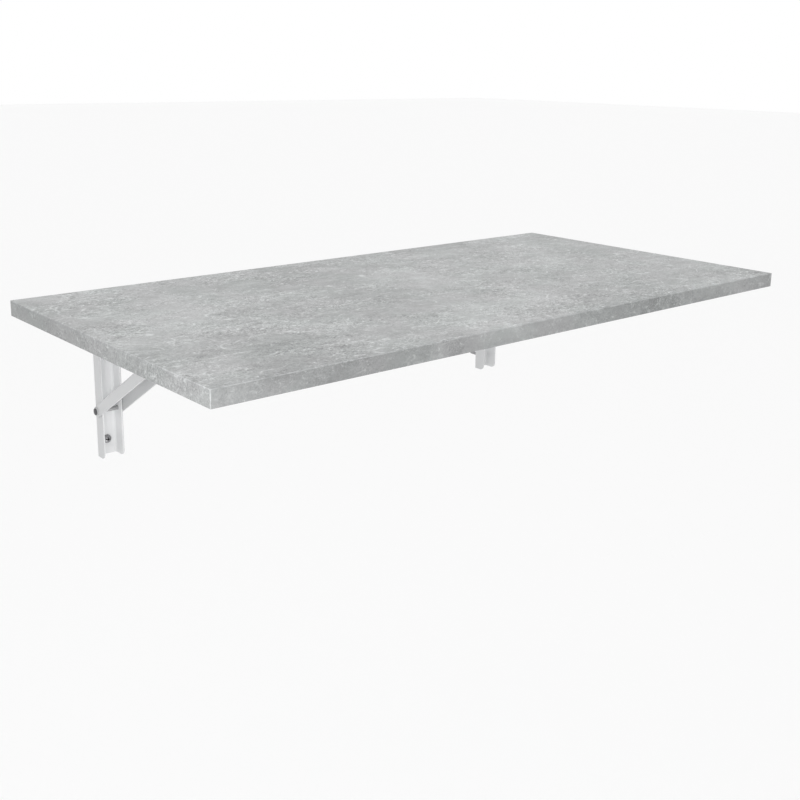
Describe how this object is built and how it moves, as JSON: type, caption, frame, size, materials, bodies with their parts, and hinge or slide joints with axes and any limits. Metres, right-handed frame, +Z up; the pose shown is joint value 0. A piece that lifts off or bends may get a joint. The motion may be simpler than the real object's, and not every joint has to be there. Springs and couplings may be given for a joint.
{
  "type": "wall mounted drop leaf table",
  "caption": "Rectangular leaf on folding steel brackets with U channel arms, struts and sprung release levers; it folds down flat to the wall.",
  "frame": {"origin": "centre of the rectangle of the four wall screws, on the wall", "axes": "+X along the wall to the right, -Y out into the room, +Y into the wall, +Z up"},
  "size_m": [1, 0.53, 0.2403],
  "materials": {
    "chipboard": "raw chipboard",
    "laminate": "grey concrete pattern, matt",
    "edge_band": "grey concrete pattern, matt",
    "white_steel": "white powder coat, satin",
    "rivet_steel": "dark zinc",
    "screw_steel": "zinc plated",
    "spring_steel": "bright drawn wire"
  },
  "bodies": {
    "wall_brackets": {"wall_plate_left": "white_steel", "hinge_pin_left": "rivet_steel", "hinge_spacers_left": "rivet_steel", "strut_pin_left": "rivet_steel", "strut_washers_left": "white_steel", "wall_plate_right": "white_steel", "hinge_pin_right": "rivet_steel", "hinge_spacers_right": "rivet_steel", "strut_pin_right": "rivet_steel", "strut_washers_right": "white_steel", "wall_screws": "screw_steel"},
    "leaf": {"tabletop_core": "chipboard", "laminate_top": "laminate", "laminate_underside": "laminate", "edge_band_front": "edge_band", "edge_band_back": "edge_band", "edge_band_left": "edge_band", "edge_band_right": "edge_band", "arm_left": "white_steel", "table_screws_left": "screw_steel", "lever_rivet_left": "rivet_steel", "lever_spring_left": "spring_steel", "arm_right": "white_steel", "table_screws_right": "screw_steel", "lever_rivet_right": "rivet_steel", "lever_spring_right": "spring_steel"},
    "strut_left": {"strut_left": "white_steel", "slot_pin_left": "rivet_steel"},
    "strut_right": {"strut_right": "white_steel", "slot_pin_right": "rivet_steel"},
    "rider_left": {"slot_riders_left": "rivet_steel"},
    "rider_right": {"slot_riders_right": "rivet_steel"},
    "lever_left": {"release_lever_left": "white_steel"},
    "lever_right": {"release_lever_right": "white_steel"}
  },
  "joints": [
    {"name": "leaf_fold", "type": "hinge", "parent": "wall_brackets", "child": "leaf", "pos_m": [0, -0.0125, 0.1105], "axis": [1, 0, 0], "range_deg": [0, 90]},
    {"name": "strut_turn_left", "type": "hinge", "parent": "wall_brackets", "child": "strut_left", "pos_m": [-0.375, -0.0125, -0.0255], "axis": [1, 0, 0], "range_deg": [0, 121.42]},
    {"name": "strut_turn_right", "type": "hinge", "parent": "wall_brackets", "child": "strut_right", "pos_m": [0.375, -0.0125, -0.0255], "axis": [1, 0, 0], "range_deg": [0, 121.42]},
    {"name": "slot_slide_left", "type": "slide", "parent": "leaf", "child": "rider_left", "axis": [0, -1, 0], "range_m": [0, 0.17636]},
    {"name": "slot_slide_right", "type": "slide", "parent": "leaf", "child": "rider_right", "axis": [0, -1, 0], "range_m": [0, 0.17636]},
    {"name": "lever_press_left", "type": "hinge", "parent": "leaf", "child": "lever_left", "pos_m": [-0.375, -0.32152, 0.1051], "axis": [-1, 0, 0], "range_deg": [0, 8.5], "stiffness_Nm_per_rad": 0.06, "springref_deg": -57.3, "deforming": ["lever_spring_left"]},
    {"name": "lever_press_right", "type": "hinge", "parent": "leaf", "child": "lever_right", "pos_m": [0.375, -0.32152, 0.1051], "axis": [-1, 0, 0], "range_deg": [0, 8.5], "stiffness_Nm_per_rad": 0.06, "springref_deg": -57.3, "deforming": ["lever_spring_right"]}
  ],
  "couplings": [
    {"joint": "strut_turn_left", "follows": "leaf_fold", "ratio": 1.3491},
    {"joint": "slot_slide_left", "follows": "leaf_fold", "m_per_rad": 0.11227},
    {"joint": "strut_turn_right", "follows": "leaf_fold", "ratio": 1.3491},
    {"joint": "slot_slide_right", "follows": "leaf_fold", "m_per_rad": 0.11227}
  ]
}
